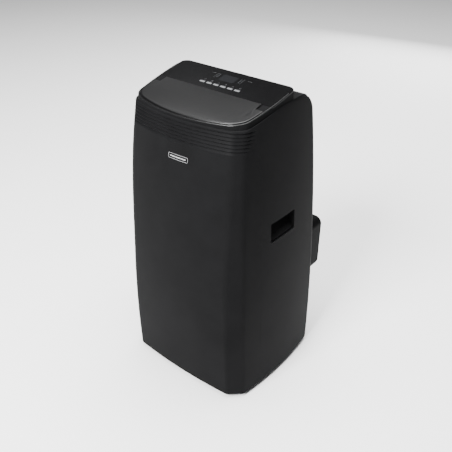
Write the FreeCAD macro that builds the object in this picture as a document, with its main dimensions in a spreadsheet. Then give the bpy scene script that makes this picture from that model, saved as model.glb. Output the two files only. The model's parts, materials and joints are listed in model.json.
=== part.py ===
"""Portable air conditioner: a bulging upright casing on four casters, with an air outlet flap and a
sloping control panel on top, a grip in each side and the hot air outlet at the back.

Millimetres, +Z up, the front faces -Y. The origin is on the floor, under the middle of the outer box.
"""
import FreeCAD, Part
import math
import os
import Sketcher
from FreeCAD import Placement, Rotation, Vector

OUT = "parts"
doc = FreeCAD.newDocument("portable_air_conditioner")
sheet = doc.addObject("Spreadsheet::Sheet", "Dim")

# alias, value, what it is
DIMENSIONS = [
    ("floor_gap", 12, "casing's lower edge above the floor"),
    ("casing_top", 670, "height where the top half sizes below are measured"),
    ("side_top", 685, "top edge of the side walls, behind the panel's slope"),
    ("overall_top", 705, "rear edge of the control panel, the highest point"),
    ("half_base", 179.8, "half width at the lower edge"),
    ("half_crown", 154.9, "half width at casing_top"),
    ("half_bulge", 4.9, "how far the sides swell at mid height"),
    ("front_base", 166.5, "origin to front at the lower edge"),
    ("front_crown", 151.3, "origin to front at casing_top"),
    ("front_bulge", 16.2, "how far the front swells at mid height"),
    ("rear_base", 145.9, "origin to back at the lower edge"),
    ("rear_crown", 123.5, "origin to back at casing_top"),
    ("rear_bulge", 7.4, "how far the back swells at mid height"),
    ("bow_base", 7, "how far the front bows in plan at the lower edge"),
    ("bow_crown", 20.3, "how far the front bows in plan at casing_top"),
    ("bevel_base", 28.8, "front corner bevel, low on the casing"),
    ("bevel_crown", 17.5, "front corner bevel at the top"),
    ("edge_base", 5, "how far the bevel's two edges are rounded, low down"),
    ("edge_crown", 9, "how far the bevel's two edges are rounded at the top"),
    ("side_flare", 9.5, "how far the sides bow in plan"),
    ("rear_radius", 25.5, "rear corner radius in plan"),
    ("wall", 2.5, "casing wall"),
    ("seam", 0.4, "gap between casing parts"),
    ("seam_depth", -80, "y of the seam between front shell and side panels"),
    ("seam_side", 122, "x of the seams between side panels and rear panel"),
    ("rib_count", 7, "ribs round the top of the front shell"),
    ("rib_first", 618, "height of the lowest rib groove"),
    ("rib_pitch", 6.9, "from one rib groove to the next"),
    ("rib_groove", 2.6, "height of a groove"),
    ("rib_depth", 1.4, "depth of a groove"),
    ("rib_end", -104, "y where the grooves end on the sides"),
    ("panel_slope", 11.9, "control panel's slope, in degrees"),
    ("panel_front", -39, "y of the control panel's front edge"),
    ("panel_rear", 41, "y of the control panel's rear edge"),
    ("panel_thick", 2.5, "control panel plate"),
    ("deck_top", 685, "flat deck behind the control panel"),
    ("panel_corner", 20, "rounding of the control panel's rear corners, in plan"),
    ("panel_half", 152, "half width of the control panel at its rear corners"),
    ("flap_inset", 7.5, "casing outside to flap edge"),
    ("flap_rear", -40.6, "y of the flap's rear edge"),
    ("flap_thick", 2.6, "outlet flap plate"),
    ("flap_axis_y", -46.6, "flap hinge axis"),
    ("flap_axis_z", 683.9, "flap hinge axis"),
    ("pin_radius", 1.5, "flap hinge pin"),
    ("tab_x", 127, "inner side of the flap's hinge seats"),
    ("mouth_half", 110, "half width of the air outlet"),
    ("mouth_front", -118, "y of the air outlet's front edge"),
    ("key_count", 6, "keys on the control panel"),
    ("key_middle", 1.5, "middle of the row of keys"),
    ("key_pitch", 18.4, "from one key to the next"),
    ("key_wide", 13, "key, across"),
    ("key_deep", 4.6, "key, front to back"),
    ("key_y", -12.2, "keys' place along the slope, from the panel's origin"),
    ("vane_count", 5, "upright guide vanes in the outlet"),
    ("vane_pitch", 40, "from one vane to the next"),
    ("vane_axis_y", -88, "vane pivots"),
    ("vane_base", 626, "underside of the vanes"),
    ("link_arm", 18, "vane pivot to link pin"),
    ("grip_top", 440, "top edge of the side grips"),
    ("grip_base", 394, "lower edge of the side grips"),
    ("grip_front", -49.5, "y of the grips' front end"),
    ("grip_rear", 35.5, "y of the grips' rear end"),
    ("grip_deep", 36, "depth of the grips"),
    ("exhaust_x", 85, "middle of the hot air outlet, across"),
    ("exhaust_z", 281.5, "middle of the hot air outlet, up"),
    ("exhaust_wide", 150, "hot air outlet box"),
    ("exhaust_high", 138, "hot air outlet box"),
    ("exhaust_face", 176, "y of the hot air outlet's rear face"),
    ("exhaust_bore", 62, "radius of the hose collar's bore"),
    ("pan_z", 48, "underside of the base pan"),
    ("caster_x", 126, "caster pivots"),
    ("caster_y", 100, "caster pivots"),
    ("caster_trail", 14, "caster pivot to wheel axle"),
    ("wheel_radius", 15, "caster wheel"),
    ("tray_z", 366, "underside of the tray between the two halves"),
    ("cool_fan_z", 470, "evaporator fan's axis"),
    ("cool_fan_radius", 84, "evaporator fan wheel"),
    ("heat_fan_x", -50, "condenser fan's axis"),
    ("heat_fan_z", 200, "condenser fan's axis"),
    ("heat_fan_radius", 68, "condenser fan wheel"),
    ("compressor_x", 70, "middle of the compressor"),
    ("compressor_y", -70, "middle of the compressor"),
    ("compressor_radius", 52, "compressor's shell"),
]


class Size:
    """A length with both its value and the spreadsheet expression that gives it."""

    def __init__(self, value, text):
        self.value = float(value)
        self.text = text

    def __add__(self, other):
        return Size(self.value + number(other), f"({self.text} + {text(other)})")

    def __sub__(self, other):
        return Size(self.value - number(other), f"({self.text} - {text(other)})")

    def __mul__(self, other):
        return Size(self.value * number(other), f"({self.text} * {text(other)})")

    def __neg__(self):
        return Size(-self.value, f"(0 - {self.text})")

    def __radd__(self, other):
        return Size(number(other) + self.value, f"({text(other)} + {self.text})")

    def __rsub__(self, other):
        return Size(number(other) - self.value, f"({text(other)} - {self.text})")

    __rmul__ = __mul__


def number(size):
    return size.value if isinstance(size, Size) else float(size)


def text(size):
    return size.text if isinstance(size, Size) else repr(float(size))


class Sizes:
    """The sheet's cells by alias."""


D = Sizes()
for row, (alias, amount, note) in enumerate(DIMENSIONS, start=1):
    sheet.set(f"A{row}", note)
    sheet.set(f"B{row}", str(amount))
    sheet.setAlias(f"B{row}", alias)
    setattr(D, alias, Size(amount, f"Dim.{alias}"))
doc.recompute()

kept = []


def keep(label, made):
    """Names a finished sub-part. Its label is its file's name."""
    made.Label = label
    kept.append(made)
    return made


def bind(made, prop, size):
    if isinstance(size, Size):
        made.setExpression(prop, size.text)
    else:
        setattr(made, prop, size)


def place(made, corner, rotation=Rotation()):
    """Puts a feature's origin at corner: three sizes."""
    made.Placement = Placement(Vector(*[number(c) for c in corner]), rotation)
    for axis, size in zip("xyz", corner):
        if isinstance(size, Size):
            made.setExpression(f"Placement.Base.{axis}", size.text)
    return made


ALONG = {
    "x": Rotation(Vector(0, 1, 0), 90),
    "y": Rotation(Vector(1, 0, 0), -90),
    "z": Rotation(),
}


def box(name, low, high):
    """A box from its low corner to its high corner."""
    made = doc.addObject("Part::Box", name)
    for prop, a, b in zip(("Length", "Width", "Height"), low, high):
        bind(made, prop, b - a if isinstance(b, Size) or isinstance(a, Size) else float(b - a))
    return place(made, low)


def cylinder(name, radius, length, start, along="z"):
    made = doc.addObject("Part::Cylinder", name)
    bind(made, "Radius", radius)
    bind(made, "Height", length)
    return place(made, start, ALONG[along])


def cut(name, base, *tools):
    made = doc.addObject("Part::Cut", name)
    made.Base = base
    made.Tool = tools[0] if len(tools) == 1 else fuse(name + "_tools", *tools)
    return made


def fuse(name, *parts):
    made = doc.addObject("Part::MultiFuse", name)
    made.Shapes = list(parts)
    return made


def common(name, base, tool):
    made = doc.addObject("Part::Common", name)
    made.Base = base
    made.Tool = tool
    return made


def group(name, *parts):
    """Several separate solids kept as one node."""
    made = doc.addObject("Part::Compound", name)
    made.Links = list(parts)
    return made


def feature(name, shape):
    """A sub-part whose shape needs Part's own functions, such as the casing's lofts."""
    made = doc.addObject("Part::Feature", name)
    made.Shape = shape
    return made


def rounded(made, radius, pick):
    """A Part::Fillet on the edges that pick chooses by their middle point and direction."""
    doc.recompute()
    edges = []
    for i, edge in enumerate(made.Shape.Edges, start=1):
        middle = edge.valueAt((edge.FirstParameter + edge.LastParameter) / 2)
        if pick(middle, edge):
            edges.append((i, radius, radius))
    done = doc.addObject("Part::Fillet", made.Name + "_rounded")
    done.Base = made
    done.Edges = edges
    return done


def runs(edge, direction):
    """Whether a straight edge runs along a direction."""
    ends = edge.Vertexes
    if len(ends) < 2:
        return False
    line = ends[1].Point - ends[0].Point
    return line.Length > 0 and abs(line.normalize().dot(direction)) > 0.999


# ---------------------------------------------------------------- PartDesign bodies


def new_body(name):
    return doc.addObject("PartDesign::Body", name)


def polygon_sketch(body, name, plane, points, holes=()):
    """A fully constrained closed outline on one of the body's planes, with round holes (x, y, radius)."""
    sketch = body.newObject("Sketcher::SketchObject", name)
    sketch.AttachmentSupport = [(o, "") for o in body.Origin.OriginFeatures if o.Role == plane]
    sketch.MapMode = "FlatFace"
    count = len(points)
    for i in range(count):
        a, b = points[i], points[(i + 1) % count]
        start = Vector(number(a[0]), number(a[1]), 0)
        end = Vector(number(b[0]), number(b[1]), 0)
        sketch.addGeometry(Part.LineSegment(start, end), False)
    for i in range(count):
        sketch.addConstraint(Sketcher.Constraint("Coincident", i, 2, (i + 1) % count, 1))
    for i, point in enumerate(points):
        pin_point(sketch, i, 1, point)
    for x, y, radius in holes:
        centre = Vector(number(x), number(y), 0)
        ring = Part.Circle(centre, Vector(0, 0, 1), number(radius))
        index = sketch.addGeometry(ring, False)
        pin_point(sketch, index, 3, (x, y))
        at = sketch.addConstraint(Sketcher.Constraint("Radius", index, number(radius)))
        if isinstance(radius, Size):
            sketch.setExpression(f"Constraints[{at}]", radius.text)
    return sketch


def pin_point(sketch, geometry, end, point):
    """Fixes one point of a sketch by its two coordinates."""
    for kind, axis, size in (("DistanceX", -2, point[0]), ("DistanceY", -1, point[1])):
        if abs(number(size)) < 1e-9:
            sketch.addConstraint(Sketcher.Constraint("PointOnObject", geometry, end, axis))
            continue
        rule = Sketcher.Constraint(kind, -1, 1, geometry, end, number(size))
        at = sketch.addConstraint(rule)
        if isinstance(size, Size):
            sketch.setExpression(f"Constraints[{at}]", size.text)


def pad(body, sketch, length, middle=False, back=False):
    made = body.newObject("PartDesign::Pad", sketch.Name + "_pad")
    made.Profile = sketch
    bind(made, "Length", length)
    made.Midplane = middle
    made.Reversed = back
    sketch.Visibility = False
    return made


def pocket(body, sketch, length, middle=False, back=False):
    made = body.newObject("PartDesign::Pocket", sketch.Name + "_pocket")
    made.Profile = sketch
    bind(made, "Length", length)
    made.Midplane = middle
    made.Reversed = back
    return made


def revolve(body, sketch, axis="V_Axis"):
    made = body.newObject("PartDesign::Revolution", sketch.Name + "_turn")
    made.Profile = sketch
    made.ReferenceAxis = (sketch, [axis])
    made.Angle = 360.0
    return made


def polar(body, feature_made, count, axis_role):
    """Repeats a feature round one of the body's axes."""
    made = body.newObject("PartDesign::PolarPattern", feature_made.Name + "_ring")
    made.Originals = [feature_made]
    axes = [o for o in body.Origin.OriginFeatures if o.Role == axis_role]
    made.Axis = (axes[0], [""])
    made.Angle = 360.0
    made.Occurrences = count
    body.Tip = made
    return made


def linear(body, feature_made, count, pitch, axis_role):
    """Repeats a feature along one of the body's axes."""
    made = body.newObject("PartDesign::LinearPattern", feature_made.Name + "_row")
    made.Originals = [feature_made]
    axes = [o for o in body.Origin.OriginFeatures if o.Role == axis_role]
    made.Direction = (axes[0], [""])
    bind(made, "Length", pitch * (count - 1))
    made.Occurrences = count
    body.Tip = made
    return made


def turned(label, points, corner, rotation=Rotation()):
    """A body turned from an outline of (radius, height) points about its own Z."""
    body = new_body(label)
    revolve(body, polygon_sketch(body, label + "_profile", "XZ_Plane", points))
    return place(body, corner, rotation)


# ---------------------------------------------------------------- the casing's form


def share(z):
    """0 at the casing's lower edge and 1 at casing_top."""
    return (z - number(D.floor_gap)) / number(D.casing_top - D.floor_gap)


def between(low, high, z, bulge=0.0):
    up = share(z)
    return number(low) + (number(high) - number(low)) * up + 4 * number(bulge) * up * (1 - up)


def corner_bevel(z):
    """The bevel narrows between 300 and 600 above the floor."""
    up = min(max((z - 300) / 300, 0), 1)
    up = up * up * (3 - 2 * up)
    return number(D.bevel_base) + number(D.bevel_crown - D.bevel_base) * up


def bend(a, corner, b, back_off):
    """The arc that rounds a corner between two directions, as (start, middle, end)."""
    to_a, to_b = (a - corner).normalize(), (b - corner).normalize()
    start, end = corner + to_a * back_off, corner + to_b * back_off
    half = to_a.getAngle(to_b) / 2
    radius = back_off * math.tan(half)
    bisector = (to_a + to_b).normalize()
    return start, corner + bisector * (radius / math.sin(half) - radius), end


def outline(z, inset=0.0):
    """The casing's plan at height z, moved inwards by inset."""
    half = between(D.half_base, D.half_crown, z, D.half_bulge) - inset
    front = between(D.front_base, D.front_crown, z, D.front_bulge) - inset
    rear = between(D.rear_base, D.rear_crown, z, D.rear_bulge) - inset
    bow = between(D.bow_base, D.bow_crown, z)
    edge = between(D.edge_base, D.edge_crown, z)
    bevel, flare = corner_bevel(z), number(D.side_flare)
    radius = number(D.rear_radius) - inset * 0.8
    side_start = Vector(half - flare, -front + bow + bevel, z)
    front_end = Vector(half - flare - bevel, -front + bow, z)
    near_front = Vector(front_end.x * 0.9, -front + bow * 0.81, z)
    side_end = Vector(half - flare * ((rear - radius) / side_start.y) ** 2, rear - radius, z)
    side_middle = Vector(half, 0, z)
    first = bend(near_front, front_end, side_start, edge)
    second = bend(front_end, side_start, side_middle, edge)
    knee = Vector(side_end.x - radius * (1 - math.sqrt(0.5)), rear - radius * (1 - math.sqrt(0.5)), z)
    rear_end = Vector(side_end.x - radius, rear, z)
    right = [
        Part.Arc(*first),
        Part.LineSegment(first[2], second[0]),
        Part.Arc(*second),
        Part.Arc(second[2], side_middle, side_end),
        Part.Arc(side_end, knee, rear_end),
    ]

    def left(p):
        return Vector(-p.x, p.y, p.z)

    flipped = [
        Part.Arc(left(rear_end), left(knee), left(side_end)),
        Part.Arc(left(side_end), left(side_middle), left(second[2])),
        Part.Arc(left(second[2]), left(second[1]), left(second[0])),
        Part.LineSegment(left(second[0]), left(first[2])),
        Part.Arc(left(first[2]), left(first[1]), left(first[0])),
    ]
    middle = Part.Arc(left(first[0]), Vector(0, -front, z), first[0])
    back = Part.LineSegment(rear_end, left(rear_end))
    curves = [middle, *right, back, *flipped]
    return Part.Wire([c.toShape() for c in curves])


def casing_body(inset, low, high):
    """The casing's form as one solid, moved inwards by inset, from one height to another."""
    steps = 7
    heights = [low + (high - low) * i / (steps - 1) for i in range(steps)]
    return Part.makeLoft([outline(z, inset) for z in heights], True, False)


def block(low, high):
    """A plain box for cutting, between two corners."""
    size = Vector(*high) - Vector(*low)
    return Part.makeBox(size.x, size.y, size.z, Vector(*low))


REACH = 200.0        # further than the casing reaches from the origin
RIM_KNEE = -66.0     # y where the rim's slope starts to ease towards the front
RIM_EASE = 0.0004    # how fast it eases


def rim_height(y):
    """The top rim: the control panel's slope, easing off towards the front lip."""
    slope = math.tan(math.radians(number(D.panel_slope)))
    height = number(D.overall_top) + slope * (y - number(D.panel_rear))
    back = min(y - RIM_KNEE, 0)
    return height + RIM_EASE * back * back


def profile_block(edges, corners):
    """A solid as wide as the casing, from curved edges and straight runs (y, z) in the YZ plane."""
    lines = [Part.LineSegment(Vector(-REACH, *a), Vector(-REACH, *b)).toShape()
             for run in corners for a, b in zip(run, run[1:])]
    face = Part.Face(Part.Wire(Part.__sortEdges__(edges + lines)))
    return face.extrude(Vector(2 * REACH, 0, 0))


def curve(*points):
    """A smooth curve in the YZ plane, pulled towards its middle points."""
    made = Part.BezierCurve()
    made.setPoles([Vector(-REACH, y, z) for y, z in points])
    return made.toShape()


def under_rim(drop, back=0.0):
    """Everything below the rim line and the deck behind the panel, lowered by drop and cut short by back."""
    start, end = -REACH, number(D.panel_rear) - back
    slope = math.tan(math.radians(number(D.panel_slope)))
    low = (start, rim_height(start) - drop)
    knee = (RIM_KNEE, rim_height(RIM_KNEE) - drop)
    middle = ((start + RIM_KNEE) / 2, knee[1] - slope * (RIM_KNEE - start) / 2)
    rear = (end, rim_height(end) - drop)
    deck = number(D.deck_top) - drop
    edges = [curve(low, middle, knee), curve((67, deck), (84, deck), (92, deck - 14)),
             curve((92, deck - 14), (107, deck - 21), (120.5 - back, deck - 46))]
    corners = [[knee, rear, (end, deck), (67, deck)],
               [(120.5 - back, deck - 46), (120.5 - back, 500), (start, 500), low]]
    return profile_block(edges, corners)


FRONT_LEDGE = 664.0  # top edge of the casing wall at the front
REAR_LEDGE = 636.0   # and at the back


def below_wall_top():
    """Everything below the casing wall's own top edge, which sweeps up along the sides."""
    top = number(D.side_top)
    edges = [curve((-118, FRONT_LEDGE), (-88, FRONT_LEDGE), (-36, top - 1), (15, top)),
             curve((30, top), (62, top - 0.5), (90, top - 9)),
             curve((90, top - 9), (102, top - 13), (105, top - 25), (119, REAR_LEDGE))]
    corners = [[(-REACH, FRONT_LEDGE), (-118, FRONT_LEDGE)], [(15, top), (30, top)],
               [(119, REAR_LEDGE), (REACH, REAR_LEDGE), (REACH, -5), (-REACH, -5), (-REACH, FRONT_LEDGE)]]
    return profile_block(edges, corners)


casing_wall = casing_body(0, number(D.floor_gap), 690).cut(casing_body(number(D.wall), 0, 700))
casing_wall = casing_wall.common(below_wall_top())


def make_front_shell():
    """The bowed front with its two bevelled corners and the ribs round the top."""
    seam = number(D.seam_depth)
    shell = casing_wall.common(block((-REACH, -REACH, 0), (REACH, seam, 700)))
    for i in range(int(number(D.rib_count))):
        low = number(D.rib_first + D.rib_pitch * i)
        band = block((-REACH, -REACH, low), (REACH, number(D.rib_end), low + number(D.rib_groove)))
        core = Part.Face(outline(low, number(D.rib_depth))).extrude(Vector(0, 0, number(D.rib_groove)))
        shell = shell.cut(band.cut(core))
    return keep("front_shell", feature("front_shell", shell))


EXHAUST_CORNER = 18.0


def exhaust_hole(gap):
    """The opening in the casing for the hot air outlet box."""
    wide = number(D.exhaust_wide) / 2 + gap
    high = number(D.exhaust_high) / 2 + gap
    x, z = number(D.exhaust_x), number(D.exhaust_z)
    hole = block((x - wide, 100, z - high), (x + wide, REACH, z + high))
    return hole.makeFillet(EXHAUST_CORNER + gap, [e for e in hole.Edges if runs(e, Vector(0, 1, 0))])


def make_side_panel(side):
    """A side with its rear corner and the hole for its grip. side is 1 on the right and -1 on the left."""
    seam, gap = number(D.seam_side), number(D.seam)
    near, far = sorted((side * (seam + gap), side * REACH))
    panel = casing_wall.common(block((near, number(D.seam_depth + D.seam), 0), (far, REACH, 700)))
    low, high = sorted((side * 150, side * REACH))
    hole = block((low, number(D.grip_front), number(D.grip_base)),
                 (high, number(D.grip_rear), number(D.grip_top)))
    hole = hole.makeFillet(2.5, [e for e in hole.Edges if runs(e, Vector(1, 0, 0))])
    panel = panel.cut(hole)
    if side > 0:
        panel = panel.cut(exhaust_hole(0.5))
    name = "side_panel_right" if side > 0 else "side_panel_left"
    return keep(name, feature(name, panel))


UPPER_GRILLE = (-112.0, 112.0, 404.0, 616.0)    # x from, x to, z from, z to
LOWER_GRILLE = (-112.0, -6.0, 96.0, 352.0)
GLAND = (-96.0, 66.0)                           # x, z
LOW_DRAIN = (20.0, 66.0)
MID_DRAIN = (100.0, 381.0)
DRAIN_RADIUS = 9.0
SCREW_SPOTS = [(x, z) for x in (-117.0, 117.0) for z in (32.0, 190.0, 378.0, 520.0, 606.0)]


def rear_face(z):
    """y of the casing's back at height z."""
    return between(D.rear_base, D.rear_crown, z, D.rear_bulge)


def rear_hole(at, radius):
    return Part.makeCylinder(radius, 200, Vector(at[0], 60, at[1]), Vector(0, 1, 0))


def make_rear_panel():
    seam = number(D.seam_side)
    panel = casing_wall.common(block((-seam, 60, 0), (seam, REACH, REAR_LEDGE)))
    for x0, x1, z0, z1 in (UPPER_GRILLE, LOWER_GRILLE):
        panel = panel.cut(block((x0, 60, z0), (x1, REACH, z1)))
    panel = panel.cut(exhaust_hole(0.5))
    for at, radius in ((GLAND, 8.3), (LOW_DRAIN, DRAIN_RADIUS + 0.3), (MID_DRAIN, DRAIN_RADIUS + 0.3)):
        panel = panel.cut(rear_hole(at, radius))
    panel = panel.cut(Part.makeCompound([rear_hole(spot, 1.9) for spot in SCREW_SPOTS]))
    return keep("rear_panel", feature("rear_panel", panel))


def make_grille(name, opening, columns):
    """A slotted plate that fills one of the back's openings and follows the casing's bulge."""
    x0, x1, z0, z1 = opening
    plate = casing_body(0.3, 20, 680).cut(casing_body(2.8, 10, 690))
    gap = number(D.seam)
    plate = plate.common(block((x0 + gap, 60, z0 + gap), (x1 - gap, REACH, z1 - gap)))
    margin, pitch, bar = 7.0, 8.6, 4.0
    rows = int((z1 - z0 - 2 * margin) / pitch)
    start = (z0 + z1 - rows * pitch) / 2
    wide = (x1 - x0 - 2 * margin - bar * (columns - 1)) / columns
    slots = []
    for row in range(rows):
        low = start + row * pitch + 1.4
        for column in range(columns):
            left = x0 + margin + column * (wide + bar)
            slots.append(block((left, 60, low), (left + wide, REACH, low + pitch - 2.8)))
    return keep(name, feature(name, plate.cut(Part.makeCompound(slots))))


def make_filter(name, opening):
    """A shallow tray behind a grille, with a thin mesh across its inner side."""
    x0, x1, z0, z1 = opening
    gap, rim = 3.0, 5.0
    outside = block((x0 + gap, 116, z0 + gap), (x1 - gap, REACH, z1 - gap)).common(casing_body(3.1, 20, 680))
    inside = block((x0 + gap + rim, 117.2, z0 + gap + rim), (x1 - gap - rim, REACH, z1 - gap - rim))
    return keep(name, feature(name, outside.cut(inside)))


make_front_shell()
make_side_panel(-1)
make_side_panel(1)
make_rear_panel()
make_grille("upper_grille", UPPER_GRILLE, 4)
make_filter("upper_filter", UPPER_GRILLE)
make_grille("lower_grille", LOWER_GRILLE, 2)
make_filter("lower_filter", LOWER_GRILLE)


# ---------------------------------------------------------------- top: cover, flap, control panel

COVER_INSET = 2.9     # casing outside to the cover's outside
COVER_THICK = 5.8     # the cover under the slope
FLAP_DROP = 0.2       # rim to the flap's top face
SEAT_DROP = 3.3       # rim to the ledge under the flap


def top_slab(inset, y_low, y_high):
    """The casing's plan moved inwards, between two depths and tall enough for the whole top."""
    return casing_body(inset, 620, 720).common(block((-REACH, y_low, 620), (REACH, y_high, 720)))


def hinge_seats(grow):
    """The two blocks at the ends of the flap's hinge line."""
    inner, front = number(D.tab_x) - grow, number(D.flap_axis_y) - 12.4 - grow
    return [block((x0, front, 600), (x1, number(D.flap_rear) + 4, 730))
            for x0, x1 in ((-REACH, -inner), (inner, REACH))]


def panel_plan():
    """The raised part's plan: as wide as the control panel, with rounded rear corners."""
    half, rear = number(D.panel_half), number(D.panel_rear)
    plan = block((-half, -REACH, 600), (half, rear, 730))
    picked = [e for e in plan.Edges if runs(e, Vector(0, 0, 1)) and e.Vertexes[0].Y > 0]
    return plan.makeFillet(number(D.panel_corner), picked)


def make_top_cover():
    outside = casing_body(COVER_INSET, 620, 720).common(under_rim(0))
    deck, rear = number(D.deck_top), number(D.panel_rear)
    corners = block((-REACH, rear - 40, deck), (REACH, rear + 10, 730)).cut(panel_plan())
    outside = outside.cut(corners)
    inside = casing_body(COVER_INSET + 2.5, 610, 720).common(under_rim(COVER_THICK, 2.5))
    cover = outside.cut(inside)
    panel_seat = top_slab(0, number(D.panel_front) - 0.2, number(D.panel_rear) + 0.2)
    cover = cover.cut(panel_seat.cut(under_rim(number(D.panel_thick) + 0.1)))
    seats = hinge_seats(0)
    recess = top_slab(number(D.flap_inset) - 0.6, -REACH, number(D.panel_front) - 0.2)
    recess = recess.cut(under_rim(SEAT_DROP)).cut(Part.makeCompound(seats))
    cover = cover.cut(recess)
    half, hinge = number(D.mouth_half), number(D.tab_x)
    rear = number(D.panel_front) - 0.2
    cover = cover.cut(block((-half, number(D.mouth_front), 600), (half, rear, 720)))
    cover = cover.cut(block((-hinge, number(D.flap_axis_y) - 7, 600), (hinge, rear, 720)))
    axis_y, axis_z = number(D.flap_axis_y), number(D.flap_axis_z)
    for start in (-hinge - 11.5, hinge):
        at = Vector(start, axis_y, axis_z)
        cover = cover.cut(Part.makeCylinder(number(D.pin_radius) + 0.05, 11.5, at, Vector(1, 0, 0)))
    cover = cover.cut(key_pocket())
    return keep("top_cover", feature("top_cover", cover))


def make_flap():
    """The outlet flap: a bowed plate with a rod along its rear edge that ends in two pins."""
    plate = top_slab(number(D.flap_inset), -REACH, number(D.flap_rear))
    plate = plate.common(under_rim(FLAP_DROP)).cut(under_rim(FLAP_DROP + number(D.flap_thick)))
    plate = plate.cut(Part.makeCompound(hinge_seats(0.6)))
    axis_y, axis_z = number(D.flap_axis_y), number(D.flap_axis_z)
    half = number(D.tab_x) - 0.6
    rod = Part.makeCylinder(1.9, 2 * half, Vector(-half, axis_y, axis_z), Vector(1, 0, 0))
    reach = half + 10
    pins = Part.makeCylinder(number(D.pin_radius), 2 * reach, Vector(-reach, axis_y, axis_z), Vector(1, 0, 0))
    return keep("outlet_flap", feature("outlet_flap", plate.fuse([rod, pins])))


SLOPE = Rotation(Vector(1, 0, 0), number(D.panel_slope))
SLOPE_ORIGIN = Vector(0, -7, rim_height(-7))


def on_slope(low, high):
    """A box in the control panel's own frame: across, up the slope, out of the panel."""
    made = block(low, high)
    made.Placement = Placement(SLOPE_ORIGIN, SLOPE).multiply(made.Placement)
    return made


def key_pocket():
    """Room under the control panel for the keys' collars and stems."""
    return on_slope((-54, -17, -9), (57, -7.4, -2.4))


LENSES = [
    ((-19, 7), (20, 31)),
    ((-29.5, 14), (-26.5, 31)),
    ((28, 11), (31, 29)),
]


def key_x(i):
    return D.key_middle + D.key_pitch * (i - (number(D.key_count) - 1) / 2)


def make_control_panel():
    """The glossy plate on the slope, with rounded rear corners, key holes and lens recesses."""
    plate = top_slab(COVER_INSET, number(D.panel_front), number(D.panel_rear))
    plate = plate.common(under_rim(0)).cut(under_rim(number(D.panel_thick))).common(panel_plan())
    v = number(D.key_y)
    for i in range(int(number(D.key_count))):
        half, deep = number(D.key_wide) / 2 + 0.35, number(D.key_deep) / 2 + 0.35
        x = number(key_x(i))
        plate = plate.cut(on_slope((x - half, v - deep, -5), (x + half, v + deep, 5)))
    for low, high in LENSES:
        plate = plate.cut(on_slope((*low, -1.5), (*high, 5)))
    return keep("control_panel", feature("control_panel", plate))


def slope_box(name, low, high):
    """A parametric box in the control panel's own frame."""
    made = doc.addObject("Part::Box", name)
    for prop, a, b in zip(("Length", "Width", "Height"), low, high):
        bind(made, prop, b - a)
    corner = SLOPE_ORIGIN + SLOPE.multVec(Vector(*[number(c) for c in low]))
    made.Placement = Placement(corner, SLOPE)
    return made


def make_keys():
    """Each key: a cap through the plate, a collar under it and a stem down to its switch."""
    v = D.key_y
    for i in range(int(number(D.key_count))):
        x, half, deep = key_x(i), D.key_wide * 0.5, D.key_deep * 0.5
        cap = slope_box(f"cap_{i}", (x - half, v - deep, -3), (x + half, v + deep, 0.5))
        collar = slope_box(f"collar_{i}", (x - 8.9, v - 3.4, -4), (x + 8.9, v + 3.4, -2.8))
        stem = slope_box(f"stem_{i}", (x - 2, v - 1.5, -8), (x + 2, v + 1.5, -4))
        keep(f"key_{i + 1}", fuse(f"key_{i + 1}", cap, collar, stem))


def make_display():
    """The display's lens and the two indicator strips beside it."""
    lenses = [slope_box(f"lens_{i}", (*map(as_size, low), -1.5), (*map(as_size, high), 0.2))
              for i, (low, high) in enumerate(LENSES)]
    keep("display_window", group("display_window", *lenses))
    board = slope_box("board_plate", (as_size(-70), -25, -11), (70, 34, -9.4))
    spots = [(as_size(x), v) for x in (-68, 64) for v in (-4, 28)]
    posts = [slope_box(f"board_post_{i}", (x, v, -9.4), (x + 4, v + 4, -5.9))
             for i, (x, v) in enumerate(spots)]
    keep("control_board", fuse("control_board", board, *posts))


def as_size(value):
    return Size(value, repr(float(value)))


make_top_cover()
make_flap()
make_control_panel()
make_keys()
make_display()


# ---------------------------------------------------------------- outlet duct and vanes

DUCT_TOP = 664.0
DUCT_BEND = 616.0
DUCT_BASE = 566.0


def rectangle(x, y0, y1, z):
    return Part.makePolygon([Vector(-x, y0, z), Vector(x, y0, z), Vector(x, y1, z), Vector(-x, y1, z),
                             Vector(-x, y0, z)])


def duct_form(inset, stretch):
    """The duct's bent form, moved inwards by inset and lengthened by stretch at both ends."""
    half = number(D.mouth_half) + 2 - inset
    front, rear = number(D.mouth_front) - 2 + inset, -52 - inset
    upper = block((-half, front, DUCT_BEND), (half, rear, DUCT_TOP + stretch))
    low = rectangle(60 - inset, -50 + inset, 36 - inset, DUCT_BASE)
    high = rectangle(half, front, rear, DUCT_BEND)
    lower = Part.makeLoft([low, high], True, True)
    form = upper.fuse(lower)
    if stretch:
        form = form.fuse(block((-60 + inset, -50 + inset, DUCT_BASE - stretch),
                               (60 - inset, 36 - inset, DUCT_BASE)))
    return form


def vane_x(i):
    return D.vane_pitch * (i - (number(D.vane_count) - 1) / 2)


def make_duct():
    duct = duct_form(0, 0).cut(duct_form(2, 5))
    y = number(D.vane_axis_y)
    base = number(D.vane_base)
    bar = block((-number(D.mouth_half) - 1, y - 5, base - 7), (number(D.mouth_half) + 1, y + 5, base - 1))
    duct = duct.fuse(bar)
    for i in range(int(number(D.vane_count))):
        duct = duct.cut(Part.makeCylinder(2.06, 20, Vector(number(vane_x(i)), y, base - 14)))
    return keep("outlet_duct", feature("outlet_duct", duct))


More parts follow.
